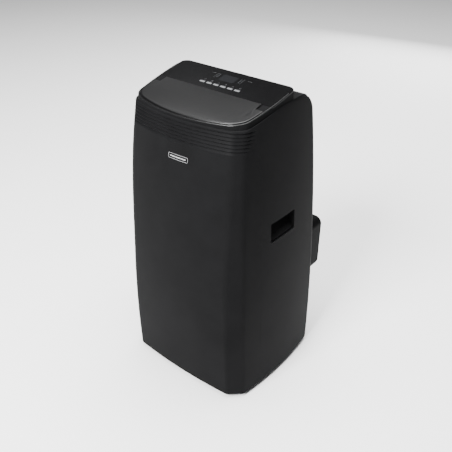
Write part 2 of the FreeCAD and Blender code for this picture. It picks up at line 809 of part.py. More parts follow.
def make_vanes():
    """Upright vanes with a pivot pin and a link pin below, and the link that turns them together."""
    y, base = D.vane_axis_y, D.vane_base
    for i in range(int(number(D.vane_count))):
        x = vane_x(i)
        blade = box(f"blade_{i}", (x - 1, y - 20, base), (x + 1, y + 21, base + 32))
        pivot = cylinder(f"pivot_{i}", 2, 8, (x, y, base - 6.5))
        boss = cylinder(f"boss_{i}", 3.2, 32, (x, y, base))
        pin = cylinder(f"link_pin_{i}", 1.4, 8, (x, y + D.link_arm, base - 6.5))
        keep(f"vane_{i + 1}", fuse(f"vane_{i + 1}", blade, pivot, boss, pin))
    end = D.vane_pitch * ((number(D.vane_count) - 1) / 2) + 6
    low = y + D.link_arm
    rail = box("link_rail", (-end, low - 6, base - 6), (end, low + 4, base - 3))
    slots = [box(f"link_slot_{i}", (vane_x(i) - 1.9, low - 4.4, base - 7), (vane_x(i) + 1.9, low + 1.9, base))
             for i in range(int(number(D.vane_count)))]
    keep("vane_link", cut("vane_link", rail, *slots))
    motor = cylinder("vane_motor_can", 9, 10, (as_size(0), y, base - 18.5))
    nub = cylinder("vane_motor_nub", 1.6, 1.2, (as_size(0), y, base - 8.5))
    keep("vane_motor", fuse("vane_motor", motor, nub))
    axis_y, axis_z = D.flap_axis_y, D.flap_axis_z
    keep("flap_motor", box("flap_motor", (as_size(-144), axis_y - 8, axis_z - 24),
                           (-128, axis_y + 8, axis_z - 10)))


make_duct()
make_vanes()


# ---------------------------------------------------------------- grips and rear fittings


def make_grip(side):
    """A cup behind the side's opening: deepest at the top, its back slopes out to the lower edge."""
    def prism(points, y0, y1):
        corners = [Vector(side * x, y0, z) for x, z in points]
        return Part.Face(Part.makePolygon([*corners, corners[0]])).extrude(Vector(0, y1 - y0, 0))

    top, base = number(D.grip_top), number(D.grip_base)
    front, rear = number(D.grip_front), number(D.grip_rear)
    deep = 169.0 - number(D.grip_deep)
    outside = prism([(169, base - 2.5), (deep - 5, top + 2), (169, top + 2)], front - 2.5, rear + 2.5)
    outside = outside.common(casing_body(number(D.wall) + 0.2, 300, 500))
    inside = prism([(REACH, base), (169, base), (deep, top), (REACH, top)], front, rear)
    name = "grip_cup_right" if side > 0 else "grip_cup_left"
    return keep(name, feature(name, outside.cut(inside)))


def make_exhaust():
    """The hot air outlet's box through the casing, its rear flange and the hose collar."""
    x, z = D.exhaust_x, D.exhaust_z
    half, high = D.exhaust_wide * 0.5, D.exhaust_high * 0.5
    face = D.exhaust_face
    shell = box("exhaust_shell", (x - half, as_size(100), z - high), (x + half, face - 5, z + high))
    shell = rounded(shell, EXHAUST_CORNER, lambda p, e: runs(e, Vector(0, 1, 0)))
    flange = box("exhaust_flange", (x - half + 1, face - 5, z - high + 1), (x + half - 1, face, z + high - 1))
    flange = rounded(flange, EXHAUST_CORNER - 1, lambda p, e: runs(e, Vector(0, 1, 0)))
    hollow = box("exhaust_hollow", (x - half + 2.5, as_size(90), z - high + 2.5),
                 (x + half - 2.5, face - 8, z + high - 2.5))
    hollow = rounded(hollow, EXHAUST_CORNER - 2.5, lambda p, e: runs(e, Vector(0, 1, 0)))
    bore = cylinder("exhaust_bore_hole", D.exhaust_bore, 60, (x, face - 50, z), "y")
    body = cut("exhaust_body", fuse("exhaust_solid", shell, flange), hollow)
    collar = cylinder("exhaust_collar", D.exhaust_bore + 3, 22, (x, face - 22, z), "y")
    keep("exhaust_housing", cut("exhaust_housing", fuse("exhaust_joined", body, collar), bore))


FACING_BACK = Rotation(Vector(1, 0, 0), -90)    # a turned part's own Z points out of the back


def make_rear_fittings():
    spouts = []
    for name, (x, z) in (("low", LOW_DRAIN), ("mid", MID_DRAIN)):
        face = rear_face(z)
        tube = cylinder(f"spout_{name}", DRAIN_RADIUS, 36, (as_size(x), as_size(face - 24), as_size(z)), "y")
        collar = cylinder(f"spout_collar_{name}", 12, 2, (as_size(x), as_size(face + 0.9), as_size(z)), "y")
        hole = cylinder(f"spout_bore_{name}", 5, 60, (as_size(x), as_size(face - 40), as_size(z)), "y")
        spouts.append(cut(f"drain_spout_{name}", fuse(f"spout_outer_{name}", tube, collar), hole))
        plug = [(0, -20), (4.3, -20), (4.6, -18), (4.6, 0.4), (8, 0.4), (8, 3), (7, 4), (0, 4)]
        at = (as_size(x), as_size(face + 12), as_size(z))
        keep(f"drain_plug_{name}", turned(f"drain_plug_{name}", plug, at, FACING_BACK))
    keep("drain_spouts", group("drain_spouts", *spouts))
    x, z = GLAND
    gland = [(4, -14), (8, -14), (8, 0.8), (11.5, 0.8), (11.5, 3), (9, 4), (7, 12), (4, 12)]
    at = (as_size(x), as_size(rear_face(z)), as_size(z))
    keep("cord_gland", turned("cord_gland", gland, at, FACING_BACK))
    screws = []
    for i, (x, z) in enumerate(SCREW_SPOTS):
        face = rear_face(z)
        head = cylinder(f"screw_head_{i}", 3.5, 1.8, (as_size(x), as_size(face + 0.5), as_size(z)), "y")
        shank = cylinder(f"screw_shank_{i}", 1.7, 9, (as_size(x), as_size(face - 8), as_size(z)), "y")
        screws.append(fuse(f"screw_{i}", head, shank))
    keep("rear_screws", group("rear_screws", *screws))


make_grip(-1)
make_grip(1)
make_exhaust()
make_rear_fittings()


# ---------------------------------------------------------------- base and casters

CASTERS = [(1, -1), (-1, -1), (1, 1), (-1, 1)]
AXLE_Z = D.wheel_radius


def make_base_pan():
    """The floor of the unit: a shallow pan with a boss for each caster's stem."""
    under = number(D.pan_z)
    inside = casing_body(number(D.wall) + 2.8, under + 3, 90)
    pan = casing_body(number(D.wall) + 0.3, under, under + 8).cut(inside)
    for sx, sy in CASTERS:
        spot = Vector(sx * number(D.caster_x), sy * number(D.caster_y), under)
        pan = pan.fuse(Part.makeCylinder(10, 15, spot))
        pan = pan.cut(Part.makeCylinder(5.05, 60, spot - Vector(0, 0, 20)))
    return keep("base_pan", feature("base_pan", pan))


def make_caster(number_of, sx, sy):
    """A swivelling fork with its stem, and a pair of wheels on one axle behind the stem."""
    at = (D.caster_x * sx, D.caster_y * sy, D.pan_z)
    label = f"caster_fork_{number_of}"
    profile = [(0, -12), (14, -12), (15, -10), (15, -6), (8, -4), (8, -0.3), (5, -0.3), (5, 14), (4, 15.5),
               (0, 15.5)]
    stem = turned(f"stem_{number_of}", profile, at)
    web = box(f"web_{number_of}", (at[0] - 4, at[1] - 5, as_size(9)),
              (at[0] + 4, at[1] + D.caster_trail + 6, D.pan_z - 8))
    hole = cylinder(f"axle_hole_{number_of}", 3.05, 20, (at[0] - 10, at[1] + D.caster_trail, AXLE_Z), "x")
    keep(label, cut(label, fuse(f"fork_solid_{number_of}", stem, web), hole))
    radius = D.wheel_radius
    wheel = [(0, -13.4), (radius - 6, -13.4), (radius - 5.5, -12.6), (radius - 2.5, -13.4), (radius, -11.4),
             (radius, -6.4), (radius - 1.5, -4.5), (3, -4.5), (3, 4.5), (radius - 1.5, 4.5), (radius, 6.4),
             (radius, 11.4), (radius - 2.5, 13.4), (radius - 5.5, 12.6), (radius - 6, 13.4), (0, 13.4)]
    label = f"caster_wheel_{number_of}"
    keep(label, turned(label, wheel, (at[0], at[1] + D.caster_trail, AXLE_Z), ALONG["x"]))


make_base_pan()
for count, (sx, sy) in enumerate(CASTERS, start=1):
    make_caster(count, sx, sy)


# ---------------------------------------------------------------- refrigeration


def make_fan(name, radius, x, z, front, deep):
    """A drum fan wheel turned by its hub: backplate, ring of blades and a front ring. Its axis is Y."""
    body = new_body(name)
    profile = [(4.05, 0), (radius, 0), (radius, 2), (13, 2), (11, 26), (4.05, 26)]
    revolve(body, polygon_sketch(body, name + "_hub", "XZ_Plane", profile))
    blade = polygon_sketch(body, name + "_blade", "XY_Plane", [(radius - 13, -1.2), (radius - 1, 2.4),
                                                              (radius - 1, 4.4), (radius - 13, 0.8)])
    blades = pad(body, blade, as_size(deep))
    ring = polygon_sketch(body, name + "_rim", "XZ_Plane", [(radius - 12, deep - 2), (radius, deep - 2),
                                                            (radius, deep), (radius - 12, deep)])
    doc.recompute()
    polar(body, blades, 28, "Z_Axis")
    rim = revolve(body, ring)
    body.Tip = rim
    place(body, (x, as_size(front), z), FACING_BACK)
    return keep(name, body)


def make_fan_motor(name, radius, x, z, front, shaft_end):
    """A motor in front of its fan's casing, with the shaft that carries the wheel."""
    length = shaft_end - front
    profile = [(0, 0), (radius - 3, 0), (radius, 3), (radius, 44), (radius - 3, 47), (7, 47), (7, 49),
               (4, 49), (4, length), (0, length)]
    return keep(name, turned(name, profile, (x, as_size(front), z), FACING_BACK))


def drum(x, z, radius, y0, y1):
    return Part.makeCylinder(radius, y1 - y0, Vector(x, y0, z), Vector(0, 1, 0))


def make_cool_scroll():
    """The evaporator fan's casing: a drum with a throat at the top and its inlet at the back."""
    z = number(D.cool_fan_z)
    y0, y1 = -50, 36
    outside = drum(0, z, 96, y0, y1).fuse(block((-60, y0, z), (60, y1, DUCT_BASE)))
    inside = drum(0, z, 93, y0 + 2, y1 - 2).fuse(block((-58, y0 + 2, z), (58, y1 - 2, DUCT_BASE + 5)))
    scroll = outside.cut(inside).cut(drum(0, z, 60, y1 - 5, y1 + 5)).cut(drum(0, z, 12, y0 - 5, y0 + 5))
    return keep("cool_fan_scroll", feature("cool_fan_scroll", scroll))


def make_heat_scroll():
    """The condenser fan's casing, with a duct that runs right and then back to the hot air outlet."""
    x, z = number(D.heat_fan_x), number(D.heat_fan_z)
    y0, y1 = 2, 68
    high = (225, 281)
    outside = drum(x, z, 80, y0, y1).fuse(block((x, y0, high[0]), (150, y1, high[1])))
    outside = outside.fuse(block((20, y0, high[0]), (150, 99.5, high[1])))
    inside = drum(x, z, 77, y0 + 2, y1 - 2).fuse(block((x, y0 + 2, high[0] + 2), (148, y1 - 2, high[1] - 2)))
    inside = inside.fuse(block((22, y0 + 2, high[0] + 2), (148, 110, high[1] - 2)))
    scroll = outside.cut(inside).cut(drum(x, z, 50, y1 - 5, y1 + 5)).cut(drum(x, z, 12, y0 - 5, y0 + 5))
    return keep("heat_fan_scroll", feature("heat_fan_scroll", scroll))


def make_coil(name, low, high, fin_count):
    """A finned block with a row of tube bends showing at its two ends."""
    body = new_body(name)
    x0, y0, z0 = low
    x1, y1, z1 = high
    frame = [(x0, z0), (x1, z0), (x1, z1), (x0, z1)]
    slab = polygon_sketch(body, name + "_slab", "XZ_Plane", [(x + 0.0, z) for x, z in frame])
    pad(body, slab, as_size(y1 - y0), back=True)
    doc.recompute()
    pitch = (x1 - x0 - 8) / fin_count
    left = x0 + 4
    gap = polygon_sketch(body, name + "_gap", "XZ_Plane", [(left, z0 + 4), (left + pitch * 0.6, z0 + 4),
                                                           (left + pitch * 0.6, z1 - 4), (left, z1 - 4)])
    gaps = pocket(body, gap, as_size(5), back=True)
    doc.recompute()
    linear(body, gaps, fin_count, as_size(pitch), "X_Axis")
    place(body, (as_size(0), as_size(y0), as_size(0)))
    return keep(name, body)


def pipe_run(points, radius):
    """A bent tube as one solid: straight lengths with a ball at every bend."""
    solids = []
    spots = [Vector(*p) for p in points]
    for a, b in zip(spots, spots[1:]):
        solids.append(Part.makeCylinder(radius, (b - a).Length, a, b - a))
    solids += [Part.makeSphere(radius, p) for p in spots[1:-1]]
    return solids[0].fuse(solids[1:])


PIPE_HOLES = [(120, -100), (-125, 98)]


def make_tray():
    """The tray that catches the evaporator's water and parts the cold half from the hot half."""
    under = number(D.tray_z)
    inside = casing_body(number(D.wall) + 2.7, under + 2, 400)
    tray = casing_body(number(D.wall) + 0.7, under, under + 6).cut(inside)
    for x, y in PIPE_HOLES:
        tray = tray.cut(Part.makeCylinder(6, 30, Vector(x, y, under - 10)))
    return keep("tray", feature("tray", tray))


def make_compressor():
    x, y, z = D.compressor_x, D.compressor_y, D.pan_z + 16
    r = D.compressor_radius
    profile = [(0, 0), (r + 8, 0), (r + 8, 3), (r - 4, 3), (r, 8), (r, 150), (r - 6, 166), (r - 22, 176),
               (6, 180), (0, 180)]
    keep("compressor", turned("compressor", profile, (x, y, z)))
    feet = []
    for i in range(3):
        turn = math.radians(30 + 120 * i)
        at = (x + 50 * math.cos(turn), y + 50 * math.sin(turn), D.pan_z + 3)
        feet.append(cylinder(f"foot_{i}", 9, 13, at))
    keep("compressor_feet", group("compressor_feet", *feet))
    profile = [(0, 0), (10, 0), (18, 8), (18, 112), (10, 122), (0, 122)]
    keep("accumulator", turned("accumulator", profile, (as_size(-5), as_size(-100), as_size(92))))
    top = number(z) + 180
    discharge = pipe_run([(70, -70, top), (70, -70, 310), (-60, -70, 310), (-60, 84, 310)], 4)
    suction = pipe_run([(-5, -100, 214), (-5, -100, 340), (120, -100, 340), (120, -100, 390), (120, 98, 390),
                        (120, 98, 420), (105, 98, 420)], 5)
    liquid = pipe_run([(-110, 98, 330), (-125, 98, 330), (-125, 98, 420), (-105, 98, 420)], 3)
    link = pipe_run([(-5, -82, 150), (-5, -70, 150), (18, -70, 150)], 4)
    keep("copper_pipes", feature("copper_pipes", Part.makeCompound([discharge, suction, liquid, link])))


def make_control_box():
    """An open steel box at the front with the power board's capacitor standing in it."""
    body = new_body("control_box")
    outer = polygon_sketch(body, "control_box_plan", "XZ_Plane", [(-80, 0), (80, 0), (80, 170), (-80, 170)])
    pad(body, outer, as_size(38), back=False)
    doc.recompute()
    inner = polygon_sketch(body, "control_box_room", "XZ_Plane", [(-78, 2), (78, 2), (78, 168), (-78, 168)])
    inner.AttachmentOffset = Placement(Vector(0, 0, 2), Rotation())
    pocket(body, inner, as_size(60), back=True)
    doc.recompute()
    place(body, (as_size(0), as_size(-106), as_size(390)))
    keep("control_box", body)
    can = [(0, 0), (14, 0), (15, 2), (15, 62), (13, 64), (0, 64)]
    keep("run_capacitor", turned("run_capacitor", can, (as_size(52), as_size(-126), as_size(392))))


cool_z, heat_z = D.cool_fan_z, D.heat_fan_z
make_cool_scroll()
make_fan("cool_fan_wheel", number(D.cool_fan_radius), as_size(0), cool_z, -40, 68)
make_fan_motor("cool_fan_motor", 32, as_size(0), cool_z, -100, -12)
make_heat_scroll()
make_fan("heat_fan_wheel", number(D.heat_fan_radius), D.heat_fan_x, heat_z, 10, 50)
make_fan_motor("heat_fan_motor", 28, D.heat_fan_x, heat_z, -48, 36)
make_coil("evaporator_coil", (-105, 84, 400), (105, 112, 628), 42)
make_coil("condenser_coil", (-110, 84, 92), (0, 112, 350), 22)
make_tray()
make_compressor()
make_control_box()


def write_parts():
    """Checks every object and writes each sub-part's shape to its own file."""
    doc.recompute()
    for made in doc.Objects:
        if "Invalid" in made.State or "Error" in made.State:
            raise RuntimeError(f"{made.Name} failed: {made.State}")
    os.makedirs(OUT, exist_ok=True)
    for made in kept:
        shape = made.Shape
        if shape.isNull() or not shape.isValid() or not shape.Solids:
            raise RuntimeError(f"{made.Label} has no valid solid")
        shape.exportStep(os.path.join(OUT, made.Label + ".step"))
        box_of = shape.BoundBox
        print(f"{made.Label}: {len(shape.Solids)} solid(s), {shape.Volume / 1000:.1f} cm3, "
              f"y {box_of.YMin:.1f} to {box_of.YMax:.1f}, z {box_of.ZMin:.1f} to {box_of.ZMax:.1f}")


write_parts()
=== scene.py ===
"""The looks of the portable air conditioner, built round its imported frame. Metres; the front faces -Y."""
import json
import math
import bmesh
import bpy
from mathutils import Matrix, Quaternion, Vector


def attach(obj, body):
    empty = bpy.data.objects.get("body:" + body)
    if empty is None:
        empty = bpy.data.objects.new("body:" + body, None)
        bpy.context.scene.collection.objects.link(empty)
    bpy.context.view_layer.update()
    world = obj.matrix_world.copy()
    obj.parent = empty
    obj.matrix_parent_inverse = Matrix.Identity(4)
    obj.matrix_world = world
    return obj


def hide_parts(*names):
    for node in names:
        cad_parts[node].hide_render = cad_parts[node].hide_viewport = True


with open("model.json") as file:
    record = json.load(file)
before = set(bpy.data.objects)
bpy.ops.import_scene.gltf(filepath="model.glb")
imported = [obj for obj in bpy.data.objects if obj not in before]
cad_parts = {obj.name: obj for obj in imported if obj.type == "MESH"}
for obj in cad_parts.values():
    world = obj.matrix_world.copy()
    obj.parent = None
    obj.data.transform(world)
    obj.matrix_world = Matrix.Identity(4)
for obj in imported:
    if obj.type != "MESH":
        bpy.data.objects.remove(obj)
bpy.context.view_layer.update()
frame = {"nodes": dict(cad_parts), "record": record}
nodes = frame["nodes"]
MM = 0.001

# ---------------------------------------------------------------- the casing's form (millimetres)

BASE_Z, CROWN_Z = 12.0, 670.0        # lower edge, and the height of the crown sizes
HALF = (179.8, 154.9, 6.0)           # half width at the base, at the crown, swell between
FRONT = (166.5, 151.3, 16.2)         # the same for the middle of the front, as a distance in front of y = 0
REAR = (145.9, 123.5, 7.4)           # and for the rear face, behind it
BOW = (7.0, 20.3)                    # front's bow in plan, at the base and at the crown
BEVEL = (28.8, 17.5)                 # corner bevel below its change, and above it
BEVEL_CHANGE = (300.0, 300.0)        # height where the bevel starts to narrow, and over how much height
EDGE = (5.0, 9.0)                    # rounding of the bevel's edges, at the base and at the crown
FLARE = 9.5                          # how far a side draws in towards the front and rear corners
REAR_RADIUS = 25.5
WALL = 2.5
REACH = 200.0                        # past the casing on every side
COVE = 2.3                           # how far the front's top edge leans in under the cover's lip
COVE_FADE = (-92.0, 22.0)            # y where the cove ends on the side, and over how much length it fades
SEAM_Y, SEAM_GAP = -80.0, 0.08       # front shell to side panel
SEAM_X = 122.0                       # side panel to rear panel
SIDE_TOP = 685.0
FRONT_LEDGE, REAR_LEDGE = 664.0, 636.0
FRONT_RIM, SIDE_RIM = FRONT_LEDGE - 5.0, 629.0      # heights from which the top edges are rounded
RIB_COUNT, RIB_FIRST, RIB_PITCH = 7, 618.0, 6.9
RIB_DEPTH = 2.0
RIB_LEAN = 0.64                      # share of each rib's height that leans back and faces up
RIB_END = (-106.0, 0.55)             # y where the lowest rib ends on the side, and its lean with height
TILT = math.radians(11.9)            # slope of the control panel and of the rim beside it
SLOPE = math.tan(TILT)
TOP_Z, PANEL_REAR = 705.0, 41.0
KNEE, EASE = -66.0, 0.0004           # y in front of which the rim flattens out, and how fast
SHARP = 40                           # degrees between faces, above which an edge stays sharp


def mix(a, b, t):
    return a + (b - a) * t


def smooth(t):
    t = min(max(t, 0.0), 1.0)
    return t * t * (3 - 2 * t)


def size_at(sizes, z):
    """A bulged size at height z, from its values at the base and the crown and the swell between."""
    t = (z - BASE_Z) / (CROWN_Z - BASE_Z)
    return mix(sizes[0], sizes[1], t) + 4 * sizes[2] * t * (1 - t)


def level(sizes, z):
    """A straight change from base to crown."""
    return mix(sizes[0], sizes[1], (z - BASE_Z) / (CROWN_Z - BASE_Z))


def bevel_at(z):
    return mix(BEVEL[0], BEVEL[1], smooth((z - BEVEL_CHANGE[0]) / BEVEL_CHANGE[1]))


def rim_height(y):
    """Height of the sloping rim round the flap and the control panel."""
    back = min(y - KNEE, 0)
    return TOP_Z + SLOPE * (y - PANEL_REAR) + EASE * back * back


def turn(corner, a, b, back_off, count):
    """Points round a corner, from its a side to its b side."""
    start = corner + (a - corner).normalized() * back_off
    end = corner + (b - corner).normalized() * back_off
    points = []
    for i in range(count + 1):
        t = i / count
        points.append(start * (1 - t) ** 2 + corner * (2 * t * (1 - t)) + end * t * t)
    return points


def front_right(z, inset=0.0):
    """Plan points from the middle of the front, round the bevelled corner, to the seam on the right."""
    half = size_at(HALF, z) - inset
    front = size_at(FRONT, z) - inset
    bow, edge, bevel = level(BOW, z), level(EDGE, z), bevel_at(z)
    side_start = Vector((half - FLARE, -front + bow + bevel))
    front_end = Vector((half - FLARE - bevel, -front + bow))
    near_front = Vector((front_end.x * 0.9, -front + bow * 0.81))
    side_next = Vector((half - FLARE * 0.81, side_start.y * 0.9))
    first = turn(front_end, near_front, side_start, edge, 10)
    second = turn(side_start, front_end, side_next, edge, 10)
    points = []
    for i in range(40):
        x = first[0].x * i / 40
        points.append(Vector((x, -front + bow * (x / front_end.x) ** 2)))
    points += first
    points += [first[-1].lerp(second[0], i / 4) for i in range(1, 4)]
    points += second
    for i in range(1, 9):
        y = mix(second[-1].y, SEAM_Y, i / 8)
        points.append(Vector((half - FLARE * (y / side_start.y) ** 2, y)))
    return points


def side_right(z, inset=0.0):
    """Plan points from the seam on the right, round the rear corner, to the rear panel's seam."""
    half = size_at(HALF, z) - inset
    front = size_at(FRONT, z) - inset
    rear = size_at(REAR, z) - inset
    start_y = -front + level(BOW, z) + bevel_at(z)
    radius = REAR_RADIUS - inset * 0.8
    points = []
    for i in range(41):
        y = mix(SEAM_Y + SEAM_GAP, rear - radius, i / 40)
        points.append(Vector((half - FLARE * (y / start_y) ** 2, y)))
    end = points[-1]
    for i in range(1, 13):
        a = math.pi / 2 * i / 12
        points.append(Vector((end.x - radius * (1 - math.cos(a)), end.y + radius * math.sin(a))))
    for i in range(1, 5):
        points.append(Vector((mix(end.x - radius, SEAM_X + 0.2, i / 4), rear)))
    return points


# Control points (y, z) of the wall's top edge, from the front ledge over the side to the rear ledge.
TOP_CURVES = [
    [(-118.0, FRONT_LEDGE), (-88.0, FRONT_LEDGE), (-36.0, SIDE_TOP - 1.0), (15.0, SIDE_TOP)],
    [(30.0, SIDE_TOP), (62.0, SIDE_TOP - 0.5), (90.0, SIDE_TOP - 9.0)],
    [(90.0, SIDE_TOP - 9.0), (102.0, SIDE_TOP - 13.0), (105.0, SIDE_TOP - 25.0), (119.0, REAR_LEDGE)],
]


def bezier(points, t):
    """The point at t of the curve with these control points."""
    while len(points) > 1:
        points = [(mix(a[0], b[0], t), mix(a[1], b[1], t)) for a, b in zip(points, points[1:])]
    return points[0]


def wall_top(y):
    """Height of the casing wall's top edge: it sweeps up along the sides and falls at the back."""
    for points in TOP_CURVES:
        if points[0][0] <= y <= points[-1][0]:
            low, high = 0.0, 1.0
            for _ in range(24):
                t = (low + high) / 2
                low, high = (t, high) if bezier(points, t)[0] < y else (low, t)
            return bezier(points, t)[1]
    if y < TOP_CURVES[0][0][0]:
        return FRONT_LEDGE
    return SIDE_TOP if y < TOP_CURVES[1][0][0] else REAR_LEDGE


def rib_depth(z, y):
    """How far the ribbed band is set back at height z: each rib leans back, and its foot overhangs."""
    into = (z - RIB_FIRST) / RIB_PITCH
    if into < 0 or into > RIB_COUNT - 0.02:
        return 0.0
    end = RIB_END[0] + RIB_END[1] * (z - RIB_FIRST)
    part = into % 1.0
    back = part / RIB_LEAN if part < RIB_LEAN else (1 - part) / (1 - RIB_LEAN)
    return RIB_DEPTH * back * (1 - smooth((y - end + 16) / 18))


def lifted(plan, base, share, inset):
    """A row of plan points moved up from height base, by share of the way to the wall's top edge."""
    row = []
    for i, p in enumerate(plan(base)):
        z = mix(base, wall_top(p.y), share)
        lean = mix(inset, COVE * share ** 3, smooth((COVE_FADE[0] - p.y) / COVE_FADE[1]))
        q = plan(z, lean)[i]
        row.append(Vector((q.x, q.y, z)))
    return row


# ---------------------------------------------------------------- mesh helpers


def new_object(name, mesh):
    made = bpy.data.objects.new(name, mesh)
    bpy.context.scene.collection.objects.link(made)
    return made


def grid(name, rows):
    """A smooth sheet through rows of points in millimetres."""
    verts = [p * MM for row in rows for p in row]
    wide = len(rows[0])
    faces = []
    for r in range(len(rows) - 1):
        for c in range(wide - 1):
            a = r * wide + c
            faces.append((a, a + 1, a + wide + 1, a + wide))
    mesh = bpy.data.meshes.new(name)
    mesh.from_pydata(verts, [], faces)
    mesh.polygons.foreach_set("use_smooth", [True] * len(faces))
    mesh.update()
    return new_object(name, mesh)


def thicken(made, thick):
    """Gives a sheet its thickness, on its inner side."""
    solid = made.modifiers.new("thick", "SOLIDIFY")
    solid.thickness = thick * MM
    solid.offset = -1.0
    solid.use_even_offset = True
    solid.use_quality_normals = True
    return made


def soften(made, width, segments=3):
    """Rounds a piece's sharp edges so that they catch the light."""
    bevel = made.modifiers.new("soft_edges", "BEVEL")
    bevel.width = width * MM
    bevel.segments = segments
    bevel.limit_method = "ANGLE"
    bevel.angle_limit = math.radians(35)
    bevel.harden_normals = True
    bevel.use_clamp_overlap = True


def by_angle(made, angle=SHARP):
    """Smooth shading across gentle angles only."""
    made.data.polygons.foreach_set("use_smooth", [True] * len(made.data.polygons))
    made.data.set_sharp_from_angle(angle=math.radians(angle))


def apply_modifiers(made):
    """Turns the modifiers' result into the object's own mesh."""
    bpy.context.view_layer.update()
    done = bpy.data.meshes.new_from_object(made.evaluated_get(bpy.context.evaluated_depsgraph_get()))
    made.modifiers.clear()
    made.data = done


def mirrored(rows):
    """The same rows on the left, each turned round so that the sheet still faces outwards."""
    return [[Vector((-p.x, p.y, p.z)) for p in reversed(row)] for row in rows]


def cutter_box(name, low, high, radius, axis):
    """A box with rounded edges along one axis, for cutting a hole. cut_away removes it."""
    bm = bmesh.new()
    bmesh.ops.create_cube(bm, size=1.0)
    for v in bm.verts:
        v.co = Vector([(low[i] + high[i]) / 2 + v.co[i] * (high[i] - low[i]) for i in range(3)]) * MM
    along = [e for e in bm.edges if abs((e.verts[0].co - e.verts[1].co).normalized()[axis]) > 0.9]
    bmesh.ops.bevel(bm, geom=along, offset=radius * MM, segments=6, profile=0.5, affect="EDGES")
    mesh = bpy.data.meshes.new(name)
    bm.to_mesh(mesh)
    bm.free()
    return new_object(name, mesh)


def cut_away(made, cutter):
    """Cuts a hole and applies every modifier made so far."""
    cut = made.modifiers.new("hole", "BOOLEAN")
    cut.operation = "DIFFERENCE"
    cut.solver = "EXACT"
    cut.object = cutter
    apply_modifiers(made)
    bpy.data.objects.remove(cutter)


# ---------------------------------------------------------------- materials


def new_material(name):
    material = bpy.data.materials.new(name)
    material.use_nodes = True
    return material, material.node_tree.nodes, material.node_tree.links


def object_noise(parts, links, scale, rough):
    """A noise texture in the object's own space, in metres."""
    coords = parts.new("ShaderNodeTexCoord")
    noise = parts.new("ShaderNodeTexNoise")
    noise.inputs["Scale"].default_value = scale
    noise.inputs["Detail"].default_value = 3.0
    noise.inputs["Roughness"].default_value = rough
    links.new(coords.outputs["Object"], noise.inputs["Vector"])
    return noise


def ramp(parts, links, source, low, high, start=0.35, end=0.65):
    """A change of colour from low to high as the source goes from start to end."""
    made = parts.new("ShaderNodeValToRGB")
    made.color_ramp.elements[0].position = start
    made.color_ramp.elements[1].position = end
    made.color_ramp.elements[0].color = (*low, 1)
    made.color_ramp.elements[1].color = (*high, 1)
    links.new(source, made.inputs["Fac"])
    return made


def relief(parts, links, height, shader, strength, distance):
    """Fine relief on the surface, from a height output."""
    bump = parts.new("ShaderNodeBump")
    bump.inputs["Strength"].default_value = strength
    bump.inputs["Distance"].default_value = distance
    links.new(height, bump.inputs["Height"])
    links.new(bump.outputs["Normal"], shader.inputs["Normal"])


def textured(name, color, roughness, grain, bump, spread, specular=0.5, metal=0.0):
    """A finish with a fine grain, slow drifts of tone and uneven roughness."""
    material, parts, links = new_material(name)
    shader = parts["Principled BSDF"]
    shader.inputs["Metallic"].default_value = metal
    shader.inputs["Specular IOR Level"].default_value = specular
    drift = object_noise(parts, links, 9.0, 0.6)
    fine = object_noise(parts, links, grain, 0.7)
    low = [c * (1 - spread) for c in color]
    high = [min(c * (1 + spread), 1.0) for c in color]
    tone = ramp(parts, links, drift.outputs["Fac"], low, high)
    links.new(tone.outputs["Color"], shader.inputs["Base Color"])
    uneven = parts.new("ShaderNodeMapRange")
    uneven.inputs["To Min"].default_value = roughness * 0.85
    uneven.inputs["To Max"].default_value = min(roughness * 1.15, 1.0)
    links.new(fine.outputs["Fac"], uneven.inputs["Value"])
    links.new(uneven.outputs["Result"], shader.inputs["Roughness"])
    relief(parts, links, fine.outputs["Fac"], shader, bump, 0.0002)
    return material


def woven(name, color, pitch):
    """A plain-weave mesh sheet: crossed threads with dark squares between, drawn by two waves."""
    material, parts, links = new_material(name)
    shader = parts["Principled BSDF"]
    coords = parts.new("ShaderNodeTexCoord")
    waves = []
    for direction in ("X", "Z"):
        wave = parts.new("ShaderNodeTexWave")
        wave.bands_direction = direction
        wave.inputs["Scale"].default_value = 1.0 / pitch / 2
        wave.inputs["Distortion"].default_value = 0.0
        links.new(coords.outputs["Object"], wave.inputs["Vector"])
        waves.append(wave)
    both = parts.new("ShaderNodeMath")
    both.operation = "MAXIMUM"
    links.new(waves[0].outputs["Fac"], both.inputs[0])
    links.new(waves[1].outputs["Fac"], both.inputs[1])
    dark = [c * 0.25 for c in color]
    tone = ramp(parts, links, both.outputs["Value"], dark, color, 0.5, 0.75)
    links.new(tone.outputs["Color"], shader.inputs["Base Color"])
    shader.inputs["Roughness"].default_value = 0.7
    relief(parts, links, both.outputs["Value"], shader, 0.5, 0.0004)
    return material


